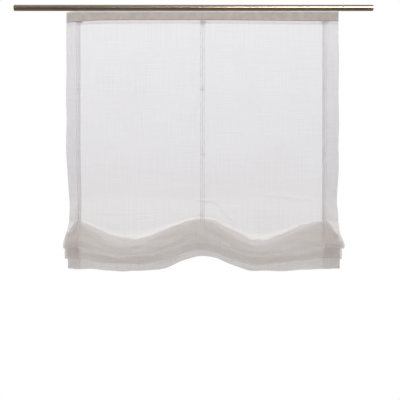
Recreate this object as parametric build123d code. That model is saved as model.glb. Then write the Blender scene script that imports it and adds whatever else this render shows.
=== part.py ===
from build123d import *
import os
from math import cos, pi, sqrt

# A soft roman blind of sheer fabric, hung by hooks and gliders in a round inside-track rod.
# Millimetres. X runs along the rod to the right, -Y faces the room, +Z is up.
# The origin is the centre of the rod's left end face.

# ---- rod ----
ROD_RADIUS = 11.0
ROD_WALL = 1.5
TRACK_SLOT = 5.0
PLUG_HEAD = 8.0
PLUG_EDGE = 0.4
SHADOW_GAP = 1.0
SHADOW_DEPTH = 1.0
PLUG_SPIGOT = 14.0
PLUG_CLEARANCE = 0.2

# ---- fabric ----
BLIND_LEFT = 193.0
BLIND_WIDTH = 1000.0
BARE_ROD_RIGHT = 127.0
SHEET = 0.6
HEADER_GAP = 3.0
SHEET_FRONT = 5.8
FLAT_END = 40.0
CENTRE_RISE = 48.0
CENTRE_RISE_REACH = 184.0
BAY_SAG = 60.0
STATIONS_PER_BAY = 5

# ---- header tape, gliders and hooks ----
TAPE_THICKNESS = 0.8
TAPE_HEIGHT = 30.0
TAPE_INSET = 2.0
POCKET_WIDTH = 6.0
POCKET_HEIGHT = 12.0
POCKET_DROP = 10.0
POCKET_WALL = 0.6
POCKET_CLEARANCE = 0.2
HOOK_COUNT = 12
FIRST_HOOK = 71.0
LAST_HOOK_INSET = 38.0
HOOK_WIRE = 1.8
HOOK_BEND = 1.2
HOOK_TAIL = 5.0
HOOK_BELOW_POCKET = 3.0
GLIDER_LENGTH = 12.0
GLIDER_WIDTH = 10.0
GLIDER_HEIGHT = 4.0
GLIDER_NECK = 3.6
EYE_BORE = 2.6
EYE_RIM = 1.6
EYE_THICKNESS = 2.4
EYE_BELOW_ROD = 0.5
RUNNING_GAP = 0.3

# ---- ring tapes, rings and lift cords ----
RING_TAPE_WIDTH = 16.0
RING_TAPE_THICKNESS = 0.6
LEFT_HEM = 52.0
RIGHT_HEM = 60.0
RING_BORE = 5.0
RING_WIRE = 1.2
FIRST_ROW = 45.0
ROW_PITCH = 240.0
FLAT_ROWS = 3
GATHERED_ROWS = 3
GATHERED_PITCH = 6.0
GATHER_SHARE = 0.2
SEAT_GAP = 0.3
CORD_RADIUS = 0.8
CORD_LEAD = 4.0

# ---- cord stoppers ----
STOPPER_RADIUS = 5.5
STOPPER_LENGTH = 18.0
STOPPER_BORE = 3.6
STOPPER_END_WALL = 2.5
PLUNGER_CLEARANCE = 0.2
PLUNGER_TRAVEL = 3.0
PLUNGER_HEAD_RADIUS = 4.6
PLUNGER_HEAD = 2.0
SPRING_LENGTH = 4.0
SPRING_WALL = 0.6
CORD_HOLE = 1.2
CORD_GRIP_GAP = 0.1

# ---- places worked out from the sizes above ----
ROD_LENGTH = BLIND_LEFT + BLIND_WIDTH + BARE_ROD_RIGHT
HOOK_PITCH = (BLIND_WIDTH - FIRST_HOOK - LAST_HOOK_INSET) / (HOOK_COUNT - 1)
HEADER_TOP = -ROD_RADIUS - HEADER_GAP
SHEET_MIDDLE = -SHEET_FRONT + SHEET / 2
SHEET_BACK = -SHEET_FRONT + SHEET
GATHER_LEVEL = HEADER_TOP - FIRST_ROW - FLAT_ROWS * ROW_PITCH
SHEET_SPLIT = GATHER_LEVEL + FLAT_END
TAPE_TOP = HEADER_TOP - TAPE_INSET
RING_CENTRE_Y = SHEET_BACK + RING_TAPE_THICKNESS + SEAT_GAP + RING_BORE + 2 * RING_WIRE
COLUMNS = {
    "left": BLIND_LEFT + LEFT_HEM - RING_TAPE_WIDTH / 2,
    "centre": BLIND_LEFT + BLIND_WIDTH / 2,
    "right": BLIND_LEFT + BLIND_WIDTH - RIGHT_HEM + RING_TAPE_WIDTH / 2,
}
HOOKS = [BLIND_LEFT + FIRST_HOOK + i * HOOK_PITCH for i in range(HOOK_COUNT)]
EYE_OUTER = EYE_BORE + EYE_RIM
EYE_CENTRE = -ROD_RADIUS - EYE_BELOW_ROD - EYE_OUTER
HOOK_OVER_EYE = EYE_CENTRE - EYE_BORE + SEAT_GAP + HOOK_WIRE / 2
HOOK_SHANK_Y = SHEET_BACK + TAPE_THICKNESS + POCKET_CLEARANCE + HOOK_WIRE / 2
POCKET_TOP = TAPE_TOP - POCKET_DROP
STOPPER_CENTRE = HEADER_TOP - FIRST_ROW + RING_WIRE + SEAT_GAP + STOPPER_RADIUS


def box(x0, x1, y0, y1, z0, z1):
    return Pos((x0 + x1) / 2, (y0 + y1) / 2, (z0 + z1) / 2) * Box(x1 - x0, y1 - y0, z1 - z0)


def rod_along_x(radius, x0, x1, y=0.0, z=0.0):
    return Pos((x0 + x1) / 2, y, z) * Rot(0, 90, 0) * Cylinder(radius, x1 - x0)


def post(radius, x, y, z0, z1):
    return Pos(x, y, (z0 + z1) / 2) * Cylinder(radius, z1 - z0)


# ---- rod ----
def rod_tube():
    x0 = PLUG_HEAD + SHADOW_GAP
    x1 = ROD_LENGTH - x0
    tube = rod_along_x(ROD_RADIUS, x0, x1) - rod_along_x(ROD_RADIUS - ROD_WALL, x0 - 1, x1 + 1)
    return tube - box(x0 - 1, x1 + 1, -TRACK_SLOT / 2, TRACK_SLOT / 2, -ROD_RADIUS - 1, 0)


def end_plug():
    """The left plug: a flush head, a shadow groove and a spigot in the tube."""
    head = rod_along_x(ROD_RADIUS, 0, PLUG_HEAD)
    head = fillet(head.edges().filter_by(GeomType.CIRCLE), PLUG_EDGE)
    groove_end = PLUG_HEAD + SHADOW_GAP
    neck = rod_along_x(ROD_RADIUS - SHADOW_DEPTH, PLUG_HEAD - PLUG_EDGE, groove_end)
    spigot_radius = ROD_RADIUS - ROD_WALL - PLUG_CLEARANCE
    spigot = rod_along_x(spigot_radius, groove_end, groove_end + PLUG_SPIGOT)
    return head + neck + spigot


# ---- gliders, hooks and header tape ----
def glider(x):
    """A nylon glider: a runner on the track's two lips, a neck in the slot and an eye below it."""
    inner = ROD_RADIUS - ROD_WALL
    runner_bottom = -sqrt(inner**2 - (GLIDER_WIDTH / 2) ** 2) + RUNNING_GAP
    half = GLIDER_LENGTH / 2
    runner = box(x - half, x + half, -GLIDER_WIDTH / 2, GLIDER_WIDTH / 2,
                 runner_bottom, runner_bottom + GLIDER_HEIGHT)
    half = GLIDER_NECK / 2
    neck = box(x - half, x + half, -EYE_THICKNESS / 2, EYE_THICKNESS / 2,
               EYE_CENTRE + EYE_BORE + EYE_RIM / 2, runner_bottom + GLIDER_HEIGHT / 2)
    eye = Pos(x, 0, EYE_CENTRE) * Rot(90, 0, 0) * Cylinder(EYE_OUTER, EYE_THICKNESS)
    bore = Pos(x, 0, EYE_CENTRE) * Rot(90, 0, 0) * Cylinder(EYE_BORE, EYE_THICKNESS + 2)
    return runner + (neck + eye - bore)


def curtain_hook(x):
    """A bent hook: the shank stands in a tape pocket and the crook hangs over the eye's rim."""
    back = -HOOK_SHANK_Y
    route = FilletPolyline(
        (x, HOOK_SHANK_Y, POCKET_TOP - POCKET_HEIGHT - HOOK_BELOW_POCKET),
        (x, HOOK_SHANK_Y, HOOK_OVER_EYE),
        (x, back, HOOK_OVER_EYE),
        (x, back, HOOK_OVER_EYE - HOOK_TAIL),
        radius=HOOK_BEND,
    )
    return sweep(Plane(origin=route @ 0, z_dir=route % 0) * Circle(HOOK_WIRE / 2), path=route)


def header_tape():
    """The woven band behind the fabric's top, with one pocket for each hook."""
    front = SHEET_BACK
    back = front + TAPE_THICKNESS
    tape = box(BLIND_LEFT, BLIND_LEFT + BLIND_WIDTH, front, back, TAPE_TOP - TAPE_HEIGHT, TAPE_TOP)
    depth = HOOK_WIRE + 2 * POCKET_CLEARANCE
    for x in HOOKS:
        half = POCKET_WIDTH / 2
        hollow = half - POCKET_WALL
        outside = box(x - half, x + half, back - TAPE_THICKNESS / 2, back + depth + POCKET_WALL,
                      POCKET_TOP - POCKET_HEIGHT, POCKET_TOP)
        inside = box(x - hollow, x + hollow, back, back + depth,
                     POCKET_TOP - POCKET_HEIGHT - 1, POCKET_TOP + 1)
        tape += outside - inside
    return tape


# ---- fabric ----
def fabric_panel():
    return box(BLIND_LEFT, BLIND_LEFT + BLIND_WIDTH, -SHEET_FRONT, SHEET_BACK,
               SHEET_SPLIT, HEADER_TOP)


# The sheet's path below the flat panel, from the gather level: how far forward, how far up,
# and the shares of the centre's rise and of the bays' sag that the point takes.
FOLD_PATH = (
    (0.0, FLAT_END, 0.0, 0.0),
    (0.0, 14.0, 0.12, 0.8),
    (-0.3, 0.0, GATHER_SHARE, 1.0),
    (16.0, -10.0, 0.3, 1.0),
    (38.0, -28.0, 0.42, 0.9),
    (56.0, -52.0, 0.48, 0.7),
    (62.0, -70.0, 0.46, 0.55),
    (59.0, -83.0, 0.46, 0.45),
    (52.0, -88.0, 0.46, 0.45),
    (45.0, -83.0, 0.46, 0.45),
    (40.0, -68.0, 0.47, 0.55),
    (30.0, -42.0, 0.5, 0.75),
    (12.0, -16.0, GATHER_SHARE, 1.0),
    (-0.4, -4.6, GATHER_SHARE, 1.0),
    (-0.4, -7.4, GATHER_SHARE, 1.0),
    (10.0, -24.0, GATHER_SHARE, 1.0),
    (24.0, -52.0, 0.55, 0.9),
    (34.0, -90.0, 0.6, 0.6),
    (37.0, -115.0, 0.65, 0.4),
    (34.0, -127.0, 0.65, 0.35),
    (28.0, -129.0, 0.65, 0.35),
    (24.0, -123.0, 0.65, 0.35),
    (20.0, -95.0, 0.6, 0.5),
    (10.0, -45.0, 0.53, 0.9),
    (-0.4, -10.6, GATHER_SHARE, 1.0),
    (-0.4, -13.4, GATHER_SHARE, 1.0),
    (3.0, -45.0, 0.55, 0.8),
    (7.0, -110.0, 0.75, 0.3),
    (6.0, -172.0, 1.0, 0.0),
)


def centre_rise(x):
    """The centre cord is drawn up further than the outer two."""
    t = abs(x - COLUMNS["centre"]) / CENTRE_RISE_REACH
    return CENTRE_RISE * 0.5 * (1 + cos(pi * t)) if t < 1 else 0.0


def bay_sag(x):
    """Between two cords nothing holds the folds, so they hang lower."""
    places = sorted(COLUMNS.values())
    for a, b in zip(places, places[1:]):
        if a < x < b:
            return BAY_SAG * 0.5 * (1 - cos(2 * pi * (x - a) / (b - a)))
    return 0.0


def thick_outline(points):
    """The closed outline of a sheet of the fabric's thickness about a bent line."""
    vectors = [Vector(0, y, z) for y, z in points]
    normals = [(b - a).normalized().cross(Vector(1, 0, 0)) for a, b in zip(vectors, vectors[1:])]
    front, back = [], []
    for i, v in enumerate(vectors):
        a, b = normals[max(i - 1, 0)], normals[min(i, len(normals) - 1)]
        offset = (a + b) * (SHEET / 2 / (1 + a.dot(b)))
        front.append(v + offset)
        back.append(v - offset)
    return front + back[::-1]


def fold_section(x):
    """The folded sheet's outline in the upright plane at x."""
    rise, sag = centre_rise(x), bay_sag(x)
    points = [
        (SHEET_MIDDLE - forward, GATHER_LEVEL + up + rise * rises - sag * sags)
        for forward, up, rises, sags in FOLD_PATH
    ]
    outline = [Vector(x, v.Y, v.Z) for v in thick_outline(points)]
    return Face(Wire.make_polygon(outline, close=True))


def fold_stack():
    """The gathered part of the fabric: two folds drawn up on the cords and the hem below them."""
    places = [BLIND_LEFT, *sorted(COLUMNS.values()), BLIND_LEFT + BLIND_WIDTH]
    stations = [places[0]]
    for i, (a, b) in enumerate(zip(places, places[1:])):
        steps = 1 if i in (0, len(places) - 2) else STATIONS_PER_BAY
        stations += [a + (b - a) * (n + 1) / steps for n in range(steps)]
    return loft([fold_section(x) for x in stations], ruled=True)


def ring_tape(x):
    half = RING_TAPE_WIDTH / 2
    return box(x - half, x + half, SHEET_BACK, SHEET_BACK + RING_TAPE_THICKNESS,
               SHEET_SPLIT, TAPE_TOP - TAPE_HEIGHT)


# ---- rings and cords ----
def gathered_level(x, row):
    return GATHER_LEVEL + GATHER_SHARE * centre_rise(x) - GATHERED_PITCH * row


def ring(x, z):
    return Pos(x, RING_CENTRE_Y, z) * Torus(RING_BORE + RING_WIRE, RING_WIRE)


def lift_cord(x):
    """The cord from the stopper down through the rings, and round the last ring's wire."""
    last = gathered_level(x, GATHERED_ROWS - 1)
    clear = RING_WIRE + CORD_RADIUS + SEAT_GAP
    wire_y = RING_CENTRE_Y + RING_BORE + RING_WIRE
    route = FilletPolyline(
        (x, RING_CENTRE_Y, STOPPER_CENTRE + STOPPER_RADIUS + SEAT_GAP),
        (x, RING_CENTRE_Y, last + 2 * GATHERED_PITCH),
        (x, wire_y - clear, last + CORD_LEAD),
        (x, wire_y - clear, last - clear),
        (x, wire_y + clear, last - clear),
        (x, wire_y + clear, last + CORD_LEAD),
        radius=0.9 * clear,
    )
    return sweep(Plane(origin=route @ 0, z_dir=route % 0) * Circle(CORD_RADIUS), path=route)


# ---- cord stoppers ----
def stopper_body(x):
    half = STOPPER_LENGTH / 2
    barrel = rod_along_x(STOPPER_RADIUS, x - half, x + half, RING_CENTRE_Y, STOPPER_CENTRE)
    bore = rod_along_x(STOPPER_BORE, x - half + STOPPER_END_WALL, x + half + 1,
                       RING_CENTRE_Y, STOPPER_CENTRE)
    reach = STOPPER_RADIUS + 1
    hole = post(CORD_HOLE, x, RING_CENTRE_Y, STOPPER_CENTRE - reach, STOPPER_CENTRE + reach)
    return barrel - bore - hole


def stopper_plunger(x):
    """A button on a shaft, with a long cross hole whose end presses on the cord."""
    spring_end = x - STOPPER_LENGTH / 2 + STOPPER_END_WALL + SPRING_LENGTH
    head_start = x + STOPPER_LENGTH / 2 + PLUNGER_TRAVEL + PLUNGER_CLEARANCE
    radius = STOPPER_BORE - PLUNGER_CLEARANCE
    shaft = rod_along_x(radius, spring_end, head_start, RING_CENTRE_Y, STOPPER_CENTRE)
    head = rod_along_x(PLUNGER_HEAD_RADIUS, head_start, head_start + PLUNGER_HEAD,
                       RING_CENTRE_Y, STOPPER_CENTRE)
    first = x + CORD_HOLE - CORD_RADIUS - CORD_GRIP_GAP
    last = first + PLUNGER_TRAVEL
    reach = STOPPER_RADIUS + 1
    hole = box(first, last, RING_CENTRE_Y - CORD_HOLE, RING_CENTRE_Y + CORD_HOLE,
               STOPPER_CENTRE - reach, STOPPER_CENTRE + reach)
    for end in (first, last):
        hole += post(CORD_HOLE, end, RING_CENTRE_Y, STOPPER_CENTRE - reach, STOPPER_CENTRE + reach)
    return shaft + head - hole


def stopper_spring(x):
    """The coil spring behind the plunger, as the tube that its turns fill."""
    x0 = x - STOPPER_LENGTH / 2 + STOPPER_END_WALL
    radius = STOPPER_BORE - PLUNGER_CLEARANCE
    tube = rod_along_x(radius, x0, x0 + SPRING_LENGTH, RING_CENTRE_Y, STOPPER_CENTRE)
    return tube - rod_along_x(radius - SPRING_WALL, x0 - 1, x0 + SPRING_LENGTH + 1,
                              RING_CENTRE_Y, STOPPER_CENTRE)


def all_parts():
    plug = end_plug()
    parts = {
        "rod_tube": rod_tube(),
        "end_plug_left": plug,
        "end_plug_right": Pos(ROD_LENGTH, 0, 0) * Rot(0, 0, 180) * plug,
        "header_tape": header_tape(),
        "fabric_panel": fabric_panel(),
        "fold_stack": fold_stack(),
    }
    for number, x in enumerate(HOOKS, 1):
        parts[f"glider_{number:02d}"] = glider(x)
        parts[f"curtain_hook_{number:02d}"] = curtain_hook(x)
    for side, x in COLUMNS.items():
        parts[f"ring_tape_{side}"] = ring_tape(x)
        parts[f"lift_cord_{side}"] = lift_cord(x)
        parts[f"stopper_body_{side}"] = stopper_body(x)
        parts[f"stopper_plunger_{side}"] = stopper_plunger(x)
        parts[f"stopper_spring_{side}"] = stopper_spring(x)
        for row in range(FLAT_ROWS):
            parts[f"ring_{side}_{row + 1}"] = ring(x, HEADER_TOP - FIRST_ROW - row * ROW_PITCH)
        gathered = [ring(x, gathered_level(x, row)) for row in range(GATHERED_ROWS)]
        parts[f"gathered_rings_{side}"] = Compound(gathered)
    return parts


os.makedirs("parts", exist_ok=True)
for name, shape in all_parts().items():
    export_step(shape, f"parts/{name}.step")
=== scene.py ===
import math

import bpy
import numpy as np
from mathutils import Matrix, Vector


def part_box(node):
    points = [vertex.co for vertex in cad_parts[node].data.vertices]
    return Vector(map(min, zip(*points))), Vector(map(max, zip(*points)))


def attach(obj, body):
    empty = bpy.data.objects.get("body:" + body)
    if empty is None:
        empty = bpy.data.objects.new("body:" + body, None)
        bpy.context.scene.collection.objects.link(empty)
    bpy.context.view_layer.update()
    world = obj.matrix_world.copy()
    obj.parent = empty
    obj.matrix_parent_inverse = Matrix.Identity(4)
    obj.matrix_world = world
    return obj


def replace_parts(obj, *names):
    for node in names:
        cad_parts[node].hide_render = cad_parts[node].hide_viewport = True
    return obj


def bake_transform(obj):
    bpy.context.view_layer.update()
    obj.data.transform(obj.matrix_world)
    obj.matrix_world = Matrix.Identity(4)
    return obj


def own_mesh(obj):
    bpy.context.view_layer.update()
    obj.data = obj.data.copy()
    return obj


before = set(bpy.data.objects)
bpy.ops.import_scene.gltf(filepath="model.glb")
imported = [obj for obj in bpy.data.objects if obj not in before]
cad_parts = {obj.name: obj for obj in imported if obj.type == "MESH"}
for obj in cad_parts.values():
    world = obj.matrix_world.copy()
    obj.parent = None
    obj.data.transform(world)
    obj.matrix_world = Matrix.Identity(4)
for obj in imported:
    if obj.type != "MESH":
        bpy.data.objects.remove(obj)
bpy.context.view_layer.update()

# Metres. X runs along the rod to the right, -Y faces the room, +Z is up.
scene = bpy.context.scene
SIDES = ("left", "centre", "right")

# ---- camera, backdrop and light ----
camera = bpy.data.objects.new("camera", bpy.data.cameras.new("camera"))
scene.collection.objects.link(camera)
camera.location = (0.6837, -2.8, -0.7068)
camera.rotation_euler = (math.radians(90), 0, 0)
camera.data.sensor_width = 36
camera.data.lens = 68.5
scene.camera = camera
scene.view_settings.view_transform = "Standard"
scene.view_settings.look = "None"
# Light crosses up to five layers of cloth, each with its hems and tape.
scene.cycles.transparent_max_bounces = 32


def tree_of(owner):
    owner.use_nodes = True
    tree = owner.node_tree
    tree.nodes.clear()
    return tree


class Nodes:
    """Short calls for building one node tree."""

    def __init__(self, owner):
        self.tree = tree_of(owner)

    def add(self, kind, settings=None, **inputs):
        node = self.tree.nodes.new("ShaderNode" + kind)
        for key, value in (settings or {}).items():
            setattr(node, key, value)
        for key, value in inputs.items():
            index = int(key[1:]) if key[0] == "_" else key.replace("_", " ")
            self.put(node.inputs[index], value)
        return node

    def put(self, socket, value):
        if isinstance(value, bpy.types.NodeSocket):
            self.tree.links.new(value, socket)
        elif isinstance(value, bpy.types.Node):
            self.tree.links.new(value.outputs[0], socket)
        else:
            socket.default_value = value

    def math(self, operation, a, b=0.0, c=0.0):
        node = self.add("Math", {"operation": operation})
        for socket, value in zip(node.inputs, (a, b, c)):
            self.put(socket, value)
        return node.outputs[0]

    def noise(self, place, scale, detail=2.0, stretch=None):
        if stretch:
            place = self.add("Mapping", Vector=place, Scale=stretch)
        return self.add("TexNoise", Vector=place, Scale=scale, Detail=detail).outputs[0]

    def ramp(self, value, *stops):
        """Colours between stops of (position, colour)."""
        node = self.add("ValToRGB", Fac=value)
        elements = node.color_ramp.elements
        while len(elements) < len(stops):
            elements.new(0.5)
        for element, (position, colour) in zip(elements, stops):
            element.position = position
            element.color = (*colour, 1)
        return node.outputs[0]

    def spread(self, value, low, high):
        return self.add("MapRange", Value=value, From_Min=0.3, From_Max=0.7,
                        To_Min=low, To_Max=high).outputs[0]


world = bpy.data.worlds.new("studio")
scene.world = world
w = Nodes(world)
sight = w.add("LightPath")
backdrop = w.add("Background", Color=(1, 1, 1, 1), Strength=1.0)
fill = w.add("Background", Color=(0.97, 0.965, 1, 1), Strength=0.315)
upward = w.add("SeparateXYZ", Vector=w.add("TexCoord").outputs["Generated"]).outputs[2]
gloss = w.add("Background", Strength=1.0, Color=w.ramp(
    w.math("MULTIPLY_ADD", upward, 0.5, 0.5),
    (0.0, (0.30, 0.27, 0.24)), (0.40, (0.13, 0.11, 0.09)),
    (0.62, (0.16, 0.14, 0.11)), (1.0, (0.62, 0.60, 0.52))))
dim = w.add("MixShader", _0=sight.outputs["Is Glossy Ray"], _1=fill, _2=gloss)
seen = w.add("MixShader", _0=sight.outputs["Is Camera Ray"], _1=dim, _2=backdrop)
w.add("OutputWorld", Surface=seen)


def softbox(name, place, aim, size, power, colour=(1, 1, 1), glossy=False):
    data = bpy.data.lights.new(name, "AREA")
    data.shape = "RECTANGLE"
    data.size, data.size_y = size
    data.energy = power
    data.color = colour
    lamp = bpy.data.objects.new(name, data)
    lamp.location = place
    lamp.rotation_euler = (Vector(aim) - Vector(place)).to_track_quat("-Z", "Y").to_euler()
    lamp.visible_glossy = glossy
    lamp.visible_diffuse = not glossy
    lamp.visible_camera = False
    scene.collection.objects.link(lamp)
    return lamp


FLOOR_Z = -2.25
softbox("overhead", (0.5, -1.7, 2.2), (0.68, 0, -0.6), (2.6, 1.8), 72)
softbox("front_fill", (-0.6, -3.4, -0.1), (0.68, 0, -0.6), (2.4, 2.0), 17)
softbox("back_fill", (0.9, 3.4, 0.5), (0.68, 0, -0.5), (2.4, 2.0), 14)
softbox("floor_wash", (0.68, -2.0, FLOOR_Z + 1), (0.68, -2.001, FLOOR_Z), (9, 6), 34)
softbox("rod_highlight", (1.66, -2.6, 0.68), (1.0, 0, 0), (1.5, 0.62), 62, (1, 0.9, 0.76), True)

# ---- the sizes that the CAD gives ----
panel_low, panel_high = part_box("fabric_panel")
LEFT, RIGHT = panel_low.x, panel_high.x
TOP, SPLIT = panel_high.z, panel_low.z
SHEET_Y = (panel_low.y + panel_high.y) / 2
COLUMNS = {side: sum(p.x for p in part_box(f"ring_tape_{side}")) / 2 for side in SIDES}
RINGS = {(s, r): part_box(f"ring_{s}_{r}") for s in SIDES for r in (1, 2, 3)}
RING_Y = sum(p.y for p in RINGS["left", 1]) / 2
RING_WIRE = (RINGS["left", 1][1].z - RINGS["left", 1][0].z) / 2
# Rounded to 0.1 mm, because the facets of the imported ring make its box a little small.
RING_RADIUS = round((RINGS["left", 1][1].x - RINGS["left", 1][0].x) / 2 - RING_WIRE, 4)
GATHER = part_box("gathered_rings_left")[1].z - RING_WIRE
CENTRE_RISE, RISE_REACH = 0.048, 0.184
BAY_SAG = 0.060
LEFT_HEM, RIGHT_HEM = 0.052, 0.060

# The sheet's path below the flat panel, from the gather level, in mm: how far forward, how far
# up, the shares of the centre's rise, of the bays' sag and of the free edges' drop.
GATHER_SHARE = 0.2
FOLD_PATH = (
    (0, 40, 0, 0, 0), (0, 27, 0.05, 0.3, 0), (0, 12, 0.13, 0.65, 0),
    (-0.3, 0, GATHER_SHARE, 0.8, 0.1),
    (16, -12, 0.3, 0.88, 0.1), (37, -31, 0.4, 0.88, 0), (54, -56, 0.46, 0.70, 0),
    (62, -78, 0.46, 0.55, 0), (60, -93, 0.46, 0.45, 0), (52, -99, 0.46, 0.45, 0),
    (45, -93, 0.46, 0.45, 0), (40, -76, 0.45, 0.55, 0.1), (30, -48, 0.4, 0.80, 0.4),
    (12, -18, GATHER_SHARE, 1.05, 0.75),
    (-0.4, -4.6, GATHER_SHARE, 1.08, 0.8), (-0.4, -7.4, GATHER_SHARE, 1.08, 0.8),
    (10, -26, GATHER_SHARE, 1, 0.65), (24, -56, 0.5, 0.95, 0.4), (34, -98, 0.6, 0.65, 0.1),
    (37, -126, 0.65, 0.42, 0), (34, -138, 0.65, 0.35, 0), (28, -140, 0.65, 0.35, 0),
    (23, -133, 0.65, 0.35, 0), (19, -102, 0.55, 0.6, 0.1), (10, -50, 0.4, 1, 0.5),
    (-0.4, -10.6, GATHER_SHARE, 1.45, 0.95), (-0.4, -13.4, GATHER_SHARE, 1.45, 0.95),
    (3, -48, 0.4, 1.05, 0.5),
    (7, -118, 0.75, 0.3, 0), (6, -181, 1.0, 0.12, 0),
)
EDGE_DROP = 0.058
BAY_SKEW = (0.76, 0.92)


def smooth(edge0, edge1, value):
    t = np.clip((value - edge0) / (edge1 - edge0), 0, 1)
    return t * t * (3 - 2 * t)


def spline(points, per_run):
    """A centripetal Catmull-Rom curve through the points, in rows."""
    p = np.array(points, float)
    p = np.vstack([2 * p[0] - p[1], p, 2 * p[-1] - p[-2]])
    rows = []
    for a, b, c, d in zip(p, p[1:], p[2:], p[3:]):
        k = [0.0]
        for u, v in ((a, b), (b, c), (c, d)):
            k.append(k[-1] + max(np.linalg.norm((v - u)[:2]), 1e-6) ** 0.5)
        t = np.linspace(k[1], k[2], per_run, endpoint=False)[:, None]
        ab = ((k[1] - t) * a + t * b) / k[1]
        bc = ((k[2] - t) * b + (t - k[1]) * c) / (k[2] - k[1])
        cd = ((k[3] - t) * c + (t - k[2]) * d) / (k[3] - k[2])
        abc = ((k[2] - t) * ab + t * bc) / k[2]
        bcd = ((k[3] - t) * bc + (t - k[1]) * cd) / (k[3] - k[1])
        rows.append(((k[2] - t) * abc + (t - k[1]) * bcd) / (k[2] - k[1]))
    return np.vstack([*rows, p[-2][None]])


PANEL_LENGTH = TOP - SPLIT
PER_RUN = 14
fold = spline(FOLD_PATH, PER_RUN)
fold[:, :2] *= 0.001
steps = np.linalg.norm(np.diff(fold[:, :2], axis=0), axis=1)
fold_down = PANEL_LENGTH + np.concatenate([[0], np.cumsum(steps)])
PATH_LENGTH = fold_down[-1]
LOOPS = [(fold_down[int(PER_RUN * point)], out) for point, out in ((14.5, 0.009), (25.5, 0.004))]


def path(down, column):
    return np.interp(down, fold_down, fold[:, column])


def waves(x, s, seed, count, low, high):
    """A smooth uneven field of about -1 to 1: sines of unlike wavelengths, the same each run."""
    rng = np.random.default_rng(seed)
    total = 0 * x + 0 * s
    for _ in range(count):
        fx, fs = rng.uniform(*low), rng.uniform(*high)
        phase = rng.uniform(0, 2 * math.pi, 2)
        total = total + np.sin(2 * math.pi * fx * x + phase[0]) * np.sin(
            2 * math.pi * fs * s + phase[1])
    return total / math.sqrt(count)


def near(x, places, width):
    return sum(np.exp(-(((x - p) / width) ** 2)) for p in places)


PLACES = sorted(COLUMNS.values())
NO_CHANGE = (0.0, 0.0001)  # a wave that is the same all along that direction

# How far the cloth leaves its path, in metres.
PANEL_WAVE = 0.0042
BELLY = 0.024
FOLD_WAVE, FOLD_RIPPLE = 0.0042, 0.0022
CUSP_JITTER = 0.0034
HEM_WAVE = 0.0010
LOOP_LENGTH = 0.02

# Creases in the panel: x and length down at each end, depth and width.
CREASES = (
    (0.735, 0.560, 0.757, 0.640, 0.0045, 0.006),
    (0.300, 0.560, 0.640, 0.600, 0.0030, 0.005),
    (0.760, 0.660, 1.090, 0.690, 0.0030, 0.005),
)
CREASE_FADE = 0.02
CREASE_X, CREASE_DOWN = (0.665, 0.737, 0.763, 0.827), (0.692, 0.697, 0.728, 0.764)
LONG_CREASE_DEPTH, LONG_CREASE_WIDTH = 0.0055, 0.0045

# The header's droop past the outer hooks, and the free edges' shifts along the rod.
CORNER_DROOP, LEFT_DROOP, RIGHT_DROOP = 0.0048, 0.0115, 0.0034
EDGE_BAND = 0.075
SPLAY, SECOND_FOLD_LESS = 0.011, 0.004
RIGHT_HANG, RIGHT_DRAWN = 0.0035, 0.0065
LEFT_TIP, LEFT_HANG, LEFT_DRAWN = 0.002, 0.007, 0.0135
EDGE_WAVE = 0.0014


def ridge(value, middle, width):
    return np.exp(-(((value - middle) / width) ** 2))


def centre_rise(x):
    t = np.clip(np.abs(x - PLACES[1]) / RISE_REACH, 0, 1)
    return CENTRE_RISE * 0.5 * (1 + np.cos(math.pi * t))


def bay_sag(x):
    """0 at the ring tapes and about 1 at the lowest place between them."""
    sag = np.zeros_like(x)
    for a, b, skew in zip(PLACES, PLACES[1:], BAY_SKEW):
        run = np.clip((x - a) / (b - a), 0, 1) ** skew
        sag += 0.5 * (1 - np.cos(2 * math.pi * run))
    return sag * (1 + 0.05 * waves(x, 0 * x, 53, 4, (3.0, 8.0), NO_CHANGE))


def panel_relief(x, down, free, sag):
    """How far forward the panel stands: shallow upright waves, a belly above the folds, creases."""
    on_panel = 1 - smooth(PANEL_LENGTH - 0.05, PANEL_LENGTH + 0.06, down)
    off_header = smooth(0.03, 0.16, down)
    roll = 0.5 + 0.5 * waves(x, down, 5, 5, (2.2, 6.5), (0.15, 0.6))
    relief = free * on_panel * off_header * PANEL_WAVE * np.clip(roll, 0, 1.6)
    belly = smooth(PANEL_LENGTH - 0.040 - 0.02 * sag, PANEL_LENGTH + 0.045, down) * (
        1 - smooth(PANEL_LENGTH + 0.055, PANEL_LENGTH + 0.15, down))
    relief = relief + BELLY * (1 - np.clip(near(x, PLACES, 0.014), 0, 1)) * belly
    for xa, down_a, xb, down_b, deep, wide in CREASES:
        line = down_a + (down_b - down_a) * np.clip((x - xa) / (xb - xa), 0, 1)
        reach = smooth(xa - CREASE_FADE, xa + CREASE_FADE, x) * (
            1 - smooth(xb - CREASE_FADE, xb + CREASE_FADE, x))
        relief = relief + on_panel * reach * deep * ridge(down, line, wide)
    line = np.interp(x, CREASE_X, CREASE_DOWN)
    reach = smooth(0.650, 0.690, x) * (1 - smooth(0.800, 0.835, x))
    return relief + LONG_CREASE_DEPTH * reach * ridge(down, line, LONG_CREASE_WIDTH)


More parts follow.
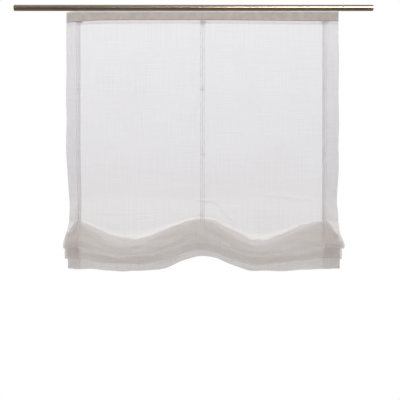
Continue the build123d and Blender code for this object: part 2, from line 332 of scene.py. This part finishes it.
def fold_relief(x, down, free):
    """Wrinkles in the folds, most where the cords don't hold the cloth: forward and up."""
    in_fold = smooth(PANEL_LENGTH + 0.03, PANEL_LENGTH + 0.10, down)
    gathered = in_fold * np.exp(-((path(down, 0) / 0.010) ** 2))
    tied = gathered * np.clip(near(x, PLACES, 0.045), 0, 1)
    slack = in_fold * (1 - 0.92 * tied) * (0.25 + 0.75 * free)
    forward = slack * (FOLD_WAVE * waves(x, down, 11, 7, (1.2, 4.5), (5.0, 14.0))
                       + FOLD_RIPPLE * waves(x, down, 23, 6, (3.0, 9.0), (12.0, 26.0)))
    up = slack * (FOLD_WAVE * waves(x, down, 31, 5, (1.5, 4.0), (1.0, 4.0))
                  + FOLD_RIPPLE * waves(x, down, 37, 5, (5.0, 11.0), (3.0, 9.0)))
    for loop, out in LOOPS:
        forward = forward + out * free * ridge(down, loop, LOOP_LENGTH)
    hem = smooth(PATH_LENGTH - 0.13, PATH_LENGTH - 0.02, down)
    up = up + CUSP_JITTER * gathered * free * (1 - hem) * waves(
        x, down, 61, 7, (10, 34), (6.0, 15.0))
    return forward, up + hem * HEM_WAVE * waves(x, 0 * down, 43, 6, (6.0, 17.0), NO_CHANGE)


def header_droop(x, down):
    """The header droops past the outer hooks."""
    lower = smooth(0.0, 0.034, down)
    droop = CORNER_DROOP * np.exp(-(x - LEFT) / 0.018) * (1 - lower) + lower * (
        LEFT_DROOP * np.exp(-(x - LEFT) / 0.060)
        + RIGHT_DROOP * smooth(LEFT + 0.5, LEFT + 0.95, x))
    return droop * (1 - smooth(0.05, 0.30, down))


def edge_shift(x, down):
    """The folds' free ends splay out, and the panel is drawn in above them."""
    tip = smooth(0.012, 0.060, path(down, 0))
    splay = tip * (SPLAY - SECOND_FOLD_LESS * smooth(-0.10, -0.13, path(down, 1)))
    hang = smooth(PATH_LENGTH - 0.16, PATH_LENGTH, down)
    at_right = smooth(RIGHT - EDGE_BAND, RIGHT, x)
    at_left = 1 - smooth(LEFT, LEFT + EDGE_BAND, x)
    loop_end = smooth(PANEL_LENGTH + 0.090, PANEL_LENGTH + 0.155, down)
    drawn = smooth(PANEL_LENGTH - 0.20, PANEL_LENGTH + 0.01, down) * (1 - loop_end)
    shift = at_right * (splay * loop_end + RIGHT_HANG * hang - RIGHT_DRAWN * drawn)
    shift = shift - at_left * (LEFT_TIP * tip * loop_end - LEFT_HANG * hang - LEFT_DRAWN * drawn)
    return shift + EDGE_WAVE * (at_right + at_left) * waves(0 * x, down, 41, 4, (0, 1), (2.0, 7.0))


def cloth(x, down):
    """Where the sheet's point at x and at that length down the cloth lies."""
    x, down = np.broadcast_arrays(np.asarray(x, float), np.asarray(down, float))
    sag = bay_sag(x)
    edge = smooth(PLACES[0] - 0.004, LEFT, x) + smooth(PLACES[2] + 0.004, RIGHT, x)
    z = (GATHER + path(down, 1) + centre_rise(x) * path(down, 2) - BAY_SAG * sag * path(down, 3)
         - EDGE_DROP * edge * path(down, 4))
    z = np.where(down < PANEL_LENGTH, TOP - down, z)
    free = 1 - np.clip(near(x, PLACES, 0.03), 0, 1)
    fold_forward, fold_up = fold_relief(x, down, free)
    forward = path(down, 0) + panel_relief(x, down, free, sag) + fold_forward
    z = z + fold_up - header_droop(x, down)
    return np.stack([x + edge_shift(x, down), SHEET_Y - forward, z], -1)


def lifted(x, down, offset):
    """Points of the cloth moved off its face by offset: below zero is behind it."""
    step = 0.0015
    p = cloth(x, down)
    if np.all(offset == 0):
        return p
    a, b = cloth(x + step, down), cloth(x - step, down)
    c, d = cloth(x, down + step), cloth(x, down - step)
    normal = np.cross(a - b, c - d)
    normal /= np.linalg.norm(normal, axis=-1, keepdims=True)
    return p + normal * np.asarray(offset)[..., None]


# ---- meshes ----
def mesh_object(name, vertices, faces, material, smooth_shaded=True, uv=None):
    mesh = bpy.data.meshes.new(name)
    mesh.from_pydata(np.asarray(vertices, float).reshape(-1, 3).tolist(), [],
                     np.asarray(faces).tolist() if isinstance(faces, np.ndarray) else faces)
    mesh.polygons.foreach_set("use_smooth", [smooth_shaded] * len(mesh.polygons))
    if uv is not None:
        layer = mesh.uv_layers.new(name="cloth")
        index = np.zeros(len(mesh.loops), int)
        mesh.loops.foreach_get("vertex_index", index)
        layer.data.foreach_set("uv", np.asarray(uv, float).reshape(-1, 2)[index].ravel())
    mesh.materials.append(material)
    mesh.update()
    piece = bpy.data.objects.new(name, mesh)
    scene.collection.objects.link(piece)
    return piece


def grid_faces(rows, columns, start=0, closed=False):
    across = columns if closed else columns - 1
    r, c = np.meshgrid(np.arange(rows - 1), np.arange(across), indexing="ij")
    n = (c + 1) % columns
    corners = (r * columns + c, r * columns + n, (r + 1) * columns + n, (r + 1) * columns + c)
    return start + np.stack(corners, -1).reshape(-1, 4)


FINE_ROW, FINE_FROM = 0.0030, PANEL_LENGTH - 0.05


def cloth_rows(first, last, coarse=0.0110):
    """Lengths down the cloth, close together in the folds."""
    rows = [first]
    while rows[-1] < last - FINE_ROW / 2:
        rows.append(rows[-1] + (coarse if rows[-1] < FINE_FROM else FINE_ROW))
    rows[-1] = last
    return np.array(rows)


def strip(name, material, x0, x1, first, last, offset, columns, coarse=0.011):
    """A second sheet sewn to the cloth: a strip at that offset from its face."""
    rows = cloth_rows(first, last, coarse)
    grid_x, grid_s = np.meshgrid(np.linspace(x0, x1, columns), rows)
    points = lifted(grid_x, grid_s, np.full_like(grid_x, offset))
    return mesh_object(name, points, grid_faces(len(rows), columns), material,
                       uv=np.stack([grid_x, grid_s], -1))


def tube(centres, radius, sides=8, closed=False, squash=1.0):
    """Vertices and faces of a round tube along the centres."""
    c = np.asarray(centres, float)
    ahead = np.roll(c, -1, 0) - np.roll(c, 1, 0)
    if not closed:
        ahead[0], ahead[-1] = c[1] - c[0], c[-1] - c[-2]
    ahead /= np.linalg.norm(ahead, axis=1, keepdims=True)
    side = np.array([1.0, 0, 0]) if abs(ahead[0, 0]) < 0.9 else np.array([0, 0, 1.0])
    frames = []
    for a in ahead:
        side = side - a * side.dot(a)
        side /= np.linalg.norm(side)
        frames.append((side, np.cross(a, side)))
    angle = np.linspace(0, 2 * math.pi, sides, endpoint=False)
    radius = np.broadcast_to(radius, len(c))
    rings = [p + r * (np.outer(np.cos(angle), u) + squash * np.outer(np.sin(angle), v))
             for p, r, (u, v) in zip(c, radius, frames)]
    faces = grid_faces(len(c), sides, closed=True).tolist()
    if closed:
        last = (len(c) - 1) * sides
        faces += [[last + i, last + (i + 1) % sides, (i + 1) % sides, i] for i in range(sides)]
    else:
        faces += [list(range(sides))[::-1], [(len(c) - 1) * sides + i for i in range(sides)]]
    return np.vstack(rings), faces


def joined(parts):
    vertices, faces, start = [], [], 0
    for v, f in parts:
        vertices.append(v)
        faces += [[i + start for i in face] for face in f]
        start += len(v)
    return np.vstack(vertices), faces


# ---- materials ----
def finish_material(nodes, shader, height=None, strength=0.3, distance=0.001):
    if height is not None:
        bump = nodes.add("Bump", Strength=strength, Distance=distance, Height=height)
        nodes.put(shader.inputs["Normal"], bump)
    nodes.add("OutputMaterial", Surface=shader)


WARP_PITCH, WEFT_PITCH = 0.00085, 0.00095
FOLDS_FROM, FOLDS_FULL = 0.755, 0.835  # lengths down the cloth where the folds begin
# The first value darkens the panel towards its foot by making it denser: painted shade.
DENSER_FOR_PAINTED_SHADE, LOOSER_IN_FOLDS, TAPE_IN_FOLDS = 0.155, 0.145, 0.08
LIGHT_THROUGH = 0.42


def sheer_fabric(name, opacity, colour, foot_shade_tint):
    """Slub voile: fine threads with gaps between them, thicker threads here and there.

    It is set denser, and so darker, down the panel: painted shade.
    It is looser again in the folds, where the layers add up.
    Its colour turns warmer and a little darker towards the foot: painted shade.
    """
    material = bpy.data.materials.new(name)
    n = Nodes(material)
    place = n.add("UVMap", {"uv_map": "cloth"}).outputs[0]
    split = n.add("SeparateXYZ", Vector=place)
    u, v = split.outputs[0], split.outputs[1]
    bent = n.noise(place, 60.0, 1)
    warp = n.math("SINE", n.math("MULTIPLY_ADD", u, 2 * math.pi / WARP_PITCH, bent))
    weft = n.math("SINE", n.math("MULTIPLY_ADD", v, 2 * math.pi / WEFT_PITCH, bent))
    slub_across = n.spread(n.noise(place, 1.0, 3, (7, 620, 1)), -1, 1)
    slub_down = n.spread(n.noise(place, 1.0, 3, (560, 6, 1)), -1, 1)
    cloudy = n.spread(n.noise(place, 5.0, 2), -1, 1)
    threads = n.math("ADD", warp, weft)
    slubs = n.math("ADD", slub_across, slub_down)
    # Painted shade: the cloth is set denser, and so darker, down the panel.
    closer = n.add("MapRange", Value=v, From_Min=0.10, From_Max=0.70, To_Min=opacity,
                   To_Max=opacity + DENSER_FOR_PAINTED_SHADE).outputs[0]
    looser = n.add("MapRange", Value=v, From_Min=FOLDS_FROM, From_Max=FOLDS_FULL, To_Min=0.0,
                   To_Max=-LOOSER_IN_FOLDS).outputs[0]
    closer = n.math("ADD", closer, looser)
    dense = n.math("MULTIPLY_ADD", threads, 0.045, closer)
    dense = n.math("MULTIPLY_ADD", slubs, 0.030, dense)
    dense = n.math("MULTIPLY_ADD", cloudy, 0.018, dense)
    # Painted shade: the colour turns warmer and a little darker towards the cloth's foot, for the
    # warm grey of the shaded folds.
    lower = n.add("MapRange", Value=v, From_Min=0.45, From_Max=0.95).outputs[0]
    tint = n.ramp(n.math("MULTIPLY_ADD", cloudy, 0.08, lower), (0.1, colour), (0.9, foot_shade_tint))
    height = n.math("MULTIPLY_ADD", slubs, 0.6, threads)
    bump = n.add("Bump", Strength=0.35, Distance=0.0002, Height=height)
    front = n.add("BsdfDiffuse", Color=tint, Roughness=0.9, Normal=bump)
    glow = n.add("BsdfTranslucent", Color=tint, Normal=bump)
    threads_lit = n.add("MixShader", _0=LIGHT_THROUGH, _1=front, _2=glow)
    gaps = n.add("BsdfTransparent", Color=(1, 1, 1, 1))
    n.add("OutputMaterial", Surface=n.add("MixShader", _0=dense, _1=gaps, _2=threads_lit))
    return material


def woven_tape(name, colour, dark, pitch, opacity=1.0):
    """A tightly woven band: ribs across it and coarse threads."""
    material = bpy.data.materials.new(name)
    n = Nodes(material)
    place = n.add("UVMap", {"uv_map": "cloth"}).outputs[0]
    split = n.add("SeparateXYZ", Vector=place)
    ribs = n.math("SINE", n.math("MULTIPLY", split.outputs[0], 2 * math.pi / pitch))
    rows = n.math("SINE", n.math("MULTIPLY", split.outputs[1], 2 * math.pi / (pitch * 1.3)))
    woven = n.math("MULTIPLY", ribs, rows)
    mottled = n.math("MULTIPLY_ADD", woven, 0.07, n.noise(place, 45.0, 4))
    tint = n.ramp(mottled, (0.32, dark), (0.68, colour))
    bump = n.add("Bump", Strength=0.5, Distance=0.0003, Height=woven)
    solid = n.add("BsdfPrincipled", Base_Color=tint, Roughness=0.88, Normal=bump)
    solid.inputs["Specular IOR Level"].default_value = 0.25
    if opacity < 1:
        gaps = n.add("BsdfTransparent", Color=(1, 1, 1, 1))
        below = n.add("MapRange", Value=split.outputs[1], From_Min=FOLDS_FROM,
                      From_Max=FOLDS_FULL, To_Min=opacity,
                      To_Max=opacity * TAPE_IN_FOLDS).outputs[0]
        dense = n.math("MULTIPLY", below, n.math("MULTIPLY_ADD", woven, 0.3, 1.0))
        solid = n.add("MixShader", _0=dense, _1=gaps, _2=solid)
    n.add("OutputMaterial", Surface=solid)
    return material


def moulded(name, colour, dark, roughness, coat=0.0, through=0.0):
    """Injection-moulded plastic: faint flow marks and fine scuffs."""
    material = bpy.data.materials.new(name)
    n = Nodes(material)
    place = n.add("TexCoord").outputs["Object"]
    flow = n.noise(place, 130.0, 3)
    scuff = n.noise(place, 900.0, 2, (1, 1, 6))
    shader = n.add("BsdfPrincipled", Base_Color=n.ramp(flow, (0.35, dark), (0.65, colour)),
                   Roughness=n.spread(scuff, roughness - 0.08, roughness + 0.10))
    shader.inputs["IOR"].default_value = 1.5
    shader.inputs["Coat Weight"].default_value = coat
    shader.inputs["Transmission Weight"].default_value = through
    finish_material(n, shader, n.math("MULTIPLY_ADD", scuff, 0.4, flow), 0.12, 0.0002)
    return material


def brushed_metal(name, colour, dark, roughness, along=(3, 420, 420)):
    """Drawn tube: fine lines along its length, a little darker in the lines."""
    material = bpy.data.materials.new(name)
    n = Nodes(material)
    place = n.add("TexCoord").outputs["Object"]
    lines = n.noise(place, 1.0, 4, along)
    cloud = n.noise(place, 14.0, 3)
    mark = n.math("MULTIPLY_ADD", cloud, 0.35, n.math("MULTIPLY", lines, 0.65))
    shader = n.add("BsdfPrincipled", Base_Color=n.ramp(mark, (0.35, dark), (0.65, colour)),
                   Metallic=1.0, Roughness=n.spread(lines, roughness - 0.05, roughness + 0.07))
    shader.inputs["Anisotropic"].default_value = 0.45
    finish_material(n, shader, lines, 0.18, 0.0001)
    return material


def twisted_cord(name, colour, dark):
    material = bpy.data.materials.new(name)
    n = Nodes(material)
    place = n.add("TexCoord").outputs["Object"]
    strands = n.add("TexWave", {"bands_direction": "DIAGONAL"}, Vector=place, Scale=420.0,
                    Distortion=1.5, Detail=1.0).outputs[1]
    shader = n.add("BsdfPrincipled", Base_Color=n.ramp(strands, (0.2, dark), (0.8, colour)),
                   Roughness=0.8)
    shader.inputs["Specular IOR Level"].default_value = 0.3
    finish_material(n, shader, strands, 0.5, 0.0002)
    return material


# The second colour is painted shade: the warm grey of the cloth's shaded foot and folds.
WHITE, WARM_FOOT_SHADE = (0.90, 0.88, 0.91), (0.90, 0.865, 0.84)
fabric = sheer_fabric("sheer_voile", 0.45, WHITE, WARM_FOOT_SHADE)
hem_fabric = sheer_fabric("sheer_voile_hem", 0.33, WHITE, WARM_FOOT_SHADE)
# The header tape's grey-beige is partly its own slight beige and partly painted shade: the
# white-ish tape lies in shade behind the cloth.
tape_fabric = woven_tape("header_tape_weave_painted_shade", (0.56, 0.515, 0.475), (0.46, 0.42, 0.39), 0.0011)
ring_tape_fabric = woven_tape("ring_tape_weave", (0.80, 0.785, 0.785), (0.72, 0.70, 0.70),
                              0.0009, 0.08)
selvedge_fabric = woven_tape("ring_tape_selvedge", (0.72, 0.70, 0.70), (0.62, 0.60, 0.60),
                             0.0009, 0.30)
thread = twisted_cord("sewing_thread", (0.86, 0.84, 0.83), (0.70, 0.68, 0.67))
cord_weave = twisted_cord("cord_braid", (0.84, 0.83, 0.81), (0.66, 0.65, 0.63))
nickel = brushed_metal("brushed_nickel", (0.47, 0.41, 0.345), (0.34, 0.30, 0.25), 0.27)
nickel_plug = brushed_metal("turned_nickel", (0.47, 0.41, 0.345), (0.35, 0.31, 0.26), 0.25,
                            (420, 30, 30))
nylon = moulded("glider_nylon_white", (0.78, 0.77, 0.74), (0.70, 0.69, 0.66), 0.42)
hook_white = moulded("hook_acetal_white", (0.80, 0.79, 0.77), (0.72, 0.71, 0.69), 0.36)
ring_clear = moulded("ring_frosted", (0.86, 0.86, 0.86), (0.78, 0.78, 0.79), 0.28, 0.2, 0.25)
stopper_plastic = moulded("stopper_milky", (0.80, 0.80, 0.79), (0.70, 0.70, 0.69), 0.34, 0.3)
spring_steel = brushed_metal("spring_wire", (0.66, 0.65, 0.63), (0.50, 0.49, 0.48), 0.22,
                             (300, 40, 300))

for node, material in (("rod_tube", nickel), ("end_plug_left", nickel_plug),
                       ("end_plug_right", nickel_plug)):
    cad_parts[node].data.materials[0] = material
for node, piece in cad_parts.items():
    for start, material in (("glider_", nylon), ("curtain_hook_", hook_white),
                            ("ring_left_", ring_clear), ("ring_centre_", ring_clear),
                            ("ring_right_", ring_clear), ("gathered_rings_", ring_clear),
                            ("stopper_body_", stopper_plastic),
                            ("stopper_plunger_", stopper_plastic)):
        if node.startswith(start):
            piece.data.materials[0] = material


def hangs(piece, slot, *nodes):
    """Hides the CAD parts that the piece replaces and bakes the piece's place into its mesh."""
    if nodes:
        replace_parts(piece, *nodes)
    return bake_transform(piece)


xs = np.linspace(LEFT, RIGHT, 226)
RUFFLE = 0.0022
rows = cloth_rows(-RUFFLE, PATH_LENGTH)
grid_x, grid_s = np.meshgrid(xs, rows)
sheet = mesh_object("sheer_blind", cloth(grid_x, grid_s), grid_faces(len(rows), len(xs)), fabric,
                    uv=np.stack([grid_x, grid_s], -1))
hangs(sheet, "sheer_fabric", "fabric_panel", "fold_stack")

HEM_OFFSET = -0.0005
TURN_IN = 0.005
BOTTOM_HEM = 0.062
HEADER_HEM = 0.0455
HEADER_SEAM = 0.043
hems = [
    hangs(strip("side_hem_left", hem_fabric, LEFT + 0.0006, LEFT + LEFT_HEM, 0.004,
                PATH_LENGTH - 0.001, HEM_OFFSET, 14), "sheer_fabric"),
    hangs(strip("side_hem_right", hem_fabric, RIGHT - RIGHT_HEM, RIGHT - 0.0006, 0.004,
                PATH_LENGTH - 0.001, HEM_OFFSET, 16), "sheer_fabric"),
    hangs(strip("side_turn_in_left", hem_fabric, LEFT + LEFT_HEM - TURN_IN,
                LEFT + LEFT_HEM - 0.0004, 0.006, PATH_LENGTH - 0.002, HEM_OFFSET * 1.7, 4),
          "sheer_fabric"),
    hangs(strip("side_turn_in_right", hem_fabric, RIGHT - RIGHT_HEM + 0.0004,
                RIGHT - RIGHT_HEM + TURN_IN, 0.006, PATH_LENGTH - 0.002, HEM_OFFSET * 1.7, 4),
          "sheer_fabric"),
    hangs(strip("header_hem", hem_fabric, LEFT + 0.001, RIGHT - 0.001, 0.0008 - RUFFLE,
                HEADER_HEM, HEM_OFFSET * 0.6, 160, coarse=0.003), "sheer_fabric"),
    hangs(strip("header_turn_in", hem_fabric, LEFT + 0.0015, RIGHT - 0.0015,
                HEADER_HEM - 0.0055, HEADER_HEM - 0.0006, HEM_OFFSET * 1.3, 160, coarse=0.0016),
          "sheer_fabric"),
    hangs(strip("bottom_hem", hem_fabric, LEFT + 0.001, RIGHT - 0.001, PATH_LENGTH - BOTTOM_HEM,
                PATH_LENGTH - 0.0008, HEM_OFFSET * 0.6, 160), "sheer_fabric"),
    hangs(strip("bottom_turn_in", hem_fabric, LEFT + 0.0015, RIGHT - 0.0015,
                PATH_LENGTH - BOTTOM_HEM + 0.002, PATH_LENGTH - 0.0014, HEM_OFFSET * 1.3, 160),
          "sheer_fabric"),
]

# ---- header tape ----
tape_low, tape_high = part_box("header_tape")
TAPE_TOP, TAPE_HEIGHT = TOP - tape_high.z, tape_high.z - tape_low.z
HOOKS = sorted(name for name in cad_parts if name.startswith("curtain_hook_"))
HOOK_X = [sum(p.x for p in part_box(name)) / 2 for name in HOOKS]
POCKETS_PER_HOOK = 3


def tape_part(xs, downs, out):
    """A closed band between two offsets behind the cloth."""
    grid_x, grid_s = np.meshgrid(xs, downs)
    faces_at = [lifted(grid_x, grid_s, grid_x * 0 + o) for o in out]
    count = grid_x.size
    columns, rows_n = len(xs), len(downs)
    near_face = grid_faces(rows_n, columns)
    far_face = grid_faces(rows_n, columns, count)[:, ::-1]
    rim = ([r * columns for r in range(rows_n)]
           + [(rows_n - 1) * columns + c for c in range(1, columns)]
           + [r * columns + columns - 1 for r in range(rows_n - 2, -1, -1)]
           + [c for c in range(columns - 2, 0, -1)])
    side = [[a, b, b + count, a + count] for a, b in zip(rim, rim[1:] + rim[:1])]
    uv = np.concatenate([np.stack([grid_x, grid_s], -1).reshape(-1, 2)] * 2)
    return (np.vstack([p.reshape(-1, 3) for p in faces_at]),
            near_face.tolist() + far_face.tolist() + side, uv)


def joined_uv(parts):
    vertices, faces = joined([(v, f) for v, f, _ in parts])
    return vertices, faces, np.vstack([u for _, _, u in parts])


def pocket(x, width, top, bottom, reach):
    """A woven loop that stands off the tape's back, open at its top and bottom."""
    across = np.linspace(-width / 2, width / 2, 11)
    arch = np.sqrt(np.clip(1 - (across / (width / 2)) ** 2, 0, 1)) ** 0.6
    downs = np.linspace(top, bottom, 6)
    vertices, uv = [], []
    for inner in (0.0, 0.00045):
        for s in downs:
            base = lifted(x + across, np.full(11, s), np.full(11, -0.0010))
            base[:, 1] += arch * (reach - inner)
            vertices.append(base)
            uv.append(np.stack([x + across * 1.6, np.full(11, s)], -1))
    faces = grid_faces(6, 11).tolist() + grid_faces(6, 11, 66)[:, ::-1].tolist()
    for row in (0, 5):
        faces += [[row * 11 + c, row * 11 + c + 1, 66 + row * 11 + c + 1, 66 + row * 11 + c]
                  for c in range(10)]
    return np.vstack(vertices), faces, np.vstack(uv)


parts = [tape_part(np.linspace(LEFT + 0.0015, RIGHT - 0.0015, 260),
                   np.linspace(TAPE_TOP, TAPE_TOP + TAPE_HEIGHT, 12), (-0.0006, -0.0013))]
for i, x in enumerate(HOOK_X):
    for step in range(POCKETS_PER_HOOK if i < len(HOOK_X) - 1 else 1):
        used = step == 0
        parts.append(pocket(x + step * (HOOK_X[1] - HOOK_X[0]) / POCKETS_PER_HOOK, 0.0072,
                            TAPE_TOP + 0.0100, TAPE_TOP + 0.0220, 0.0034 if used else 0.0012))
vertices, faces, uv = joined_uv(parts)
header = mesh_object("header_tape_woven", vertices, faces, tape_fabric, uv=uv)
hangs(header, "header_tape", "header_tape")

# ---- ring tapes, from the header tape to the bottom hem ----
TAPE_HALF = 0.008
SELVEDGE = 0.0016
for side, x in COLUMNS.items():
    piece = strip(f"ring_tape_woven_{side}", ring_tape_fabric, x - TAPE_HALF, x + TAPE_HALF,
                  TAPE_TOP + TAPE_HEIGHT, PATH_LENGTH - BOTTOM_HEM, -0.0008, 7)
    hangs(piece, "ring_tape", f"ring_tape_{side}")
    for end, inner, outer in (("a", -TAPE_HALF, -TAPE_HALF + SELVEDGE),
                              ("b", TAPE_HALF - SELVEDGE, TAPE_HALF)):
        piece = strip(f"selvedge_{side}_{end}", selvedge_fabric, x + inner, x + outer,
                      TAPE_TOP + TAPE_HEIGHT, PATH_LENGTH - BOTTOM_HEM, -0.0010, 2)
        hangs(piece, "ring_tape")


# ---- stitches ----
def seam(start, end, pitch=0.0042, share=0.7):
    """Where each stitch of a straight seam starts and ends, as x and the length down the cloth."""
    start, end = np.array(start), np.array(end)
    count = max(int(np.linalg.norm(end - start) / pitch), 1)
    run = (end - start) / count
    first = start + run * np.arange(count)[:, None]
    return np.stack([first, first + run * share], 1)


def stitched(seams):
    """Short threads over the cloth's face, each sunk at both ends."""
    ends = np.concatenate(seams)
    t = np.linspace(0, 1, 5)
    place = ends[:, :1] + (ends[:, 1:] - ends[:, :1]) * t[None, :, None]
    lift = np.broadcast_to(0.00025 * np.sin(np.pi * t) + 0.00012, place.shape[:2])
    return joined([tube(line, 0.00022, 5) for line in lifted(place[..., 0], place[..., 1], lift)])


MARGIN = 0.0015
TAPE_BOTTOM = TAPE_TOP + TAPE_HEIGHT
HEM_TOP = PATH_LENGTH - BOTTOM_HEM
whole = (LEFT + MARGIN, RIGHT - MARGIN)
seams = {
    "stitches_header": [
        seam((LEFT + LEFT_HEM, HEADER_SEAM), (RIGHT - RIGHT_HEM, HEADER_SEAM), share=0.85),
        *(seam((whole[0], s), (whole[1], s)) for s in (TAPE_TOP + MARGIN, TAPE_BOTTOM - MARGIN)),
    ],
    "stitches_bottom_hem": [seam((whole[0], HEM_TOP + MARGIN), (whole[1], HEM_TOP + MARGIN))],
}
for side, x in COLUMNS.items():
    seams[f"stitches_ring_tape_{side}"] = [
        seam((x + edge * (TAPE_HALF - 0.001), TAPE_BOTTOM),
             (x + edge * (TAPE_HALF - 0.001), HEM_TOP), 0.005) for edge in (-1, 1)]
stitch_pieces = [hangs(mesh_object(name, *stitched(lines), thread), "sheer_fabric")
                 for name, lines in seams.items()]


# ---- rings' tacking threads ----
def tack(x, z, y_back):
    """Three turns of thread that hold a ring's wire to the ring tape."""
    turns = 3.5
    t = np.linspace(0, 1, 36)
    angle = 2 * math.pi * turns * t
    wire = RING_WIRE + 0.0003
    front = y_back - 0.0006
    middle = (front + RING_Y - RING_RADIUS + RING_WIRE) / 2
    reach = (RING_Y - RING_RADIUS + RING_WIRE - front) / 2 + 0.0003
    points = np.stack([x + 0.0022 * (t - 0.5), middle + reach * np.cos(angle),
                       z + wire * np.sin(angle)], -1)
    return tube(points, 0.00026, 6)


TACK_BODIES = {1: "blind", 2: "second_ring_row", 3: "third_ring_row"}
TACK_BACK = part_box("ring_tape_left")[1].y
for row, body in TACK_BODIES.items():
    vertices, faces = joined([
        tack(x, sum(p.z for p in RINGS[side, row]) / 2, TACK_BACK) for side, x in COLUMNS.items()])
    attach(mesh_object(f"ring_tacks_{row}", vertices, faces, thread), body)
gathered = []
for side, x in COLUMNS.items():
    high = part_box(f"gathered_rings_{side}")[1].z - RING_WIRE
    gathered += [tack(x, high - 0.006 * i, TACK_BACK) for i in range(3)]
vertices, faces = joined(gathered)
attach(mesh_object("ring_tacks_gathered", vertices, faces, thread), "gathered_folds")

# ---- lift cords: three plied strands ----
CORD = 0.0008
STRAND, STRAND_OUT = 0.00042, 0.00038
LAY = 0.0052  # length of one turn of a strand
for side, x in COLUMNS.items():
    low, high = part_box(f"lift_cord_{side}")
    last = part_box(f"gathered_rings_{side}")[0].z + RING_WIRE
    clear = RING_WIRE + CORD + 0.0003
    wire_y = RING_Y + RING_RADIUS
    ends = spline([
        (RING_Y, high.z - 0.0001), (RING_Y, last + 0.020), (RING_Y + 0.0006, last + 0.012),
        (wire_y - clear, last + 0.004), (wire_y - clear, last + 0.0006),
        (wire_y - clear * 0.72, last - clear * 0.72), (wire_y, last - clear),
        (wire_y + clear * 0.72, last - clear * 0.72), (wire_y + clear, last),
        (wire_y + clear, last + 0.0039)], 8)
    runs = [ends[:1]]
    for a, b in zip(ends, ends[1:]):
        count = max(int(np.linalg.norm(b - a) / 0.0016), 1)
        runs.append(a + (b - a) * (np.arange(1, count + 1) / count)[:, None])
    line = np.vstack(runs)
    length = np.concatenate([[0], np.cumsum(np.linalg.norm(np.diff(line, axis=0), axis=1))])
    ahead = np.gradient(line, axis=0)
    ahead /= np.linalg.norm(ahead, axis=1, keepdims=True)
    across = np.stack([-ahead[:, 1], ahead[:, 0]], -1)
    strands = []
    for phase in (0, math.pi * 2 / 3, math.pi * 4 / 3):
        turn = length * 2 * math.pi / LAY + phase
        points = np.stack([x + STRAND_OUT * np.cos(turn),
                           line[:, 0] + STRAND_OUT * np.sin(turn) * across[:, 0],
                           line[:, 1] + STRAND_OUT * np.sin(turn) * across[:, 1]], -1)
        strands.append(tube(points, STRAND, 6))
    vertices, faces = joined(strands)
    hangs(mesh_object(f"lift_cord_plied_{side}", vertices, faces, cord_weave), "cord",
          f"lift_cord_{side}")

# ---- stopper springs ----
SPRING_WIRE, SPRING_TURNS, SPRING_KEEP = 0.00015, 3, 0.23
for side in SIDES:
    low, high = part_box(f"stopper_spring_{side}")
    middle = (low + high) / 2
    wire = SPRING_WIRE
    coil = (high.z - low.z) / 2 - wire
    t = np.linspace(0, 1, 110)
    angle = 2 * math.pi * SPRING_TURNS * t
    run = np.interp(t, (0, 0.1, 0.9, 1), (0, 0.02, 0.98, 1))
    points = np.stack([low.x + wire + (high.x - low.x - 2 * wire) * run,
                       middle.y + coil * np.cos(angle), middle.z + coil * np.sin(angle)], -1)
    vertices, faces = tube(points, wire, 7)
    spring = mesh_object(f"coil_spring_{side}", vertices, faces, spring_steel)
    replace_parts(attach(spring, "blind"), f"stopper_spring_{side}")
    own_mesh(spring)

# ---- floor ----
floor_material = bpy.data.materials.new("studio_floor")
n = Nodes(floor_material)
place = n.add("TexCoord").outputs["Object"]
paper = n.ramp(n.noise(place, 3.0, 3), (0.3, (0.86, 0.85, 0.84)), (0.7, (0.90, 0.89, 0.88)))
lit = n.add("BsdfPrincipled", Roughness=0.8, Base_Color=paper)
lift = n.add("Emission", Color=paper,
             Strength=n.math("MULTIPLY", n.add("LightPath").outputs["Is Camera Ray"], 0.36))
finish_material(n, n.add("AddShader", _0=lit, _1=lift))
FLOOR_CORNERS = ((-9, -12), (10, -12), (10, 3), (-9, 3))
floor = mesh_object("floor", [(*corner, FLOOR_Z) for corner in FLOOR_CORNERS], [[0, 1, 2, 3]],
                    floor_material, False)
floor.visible_glossy = False
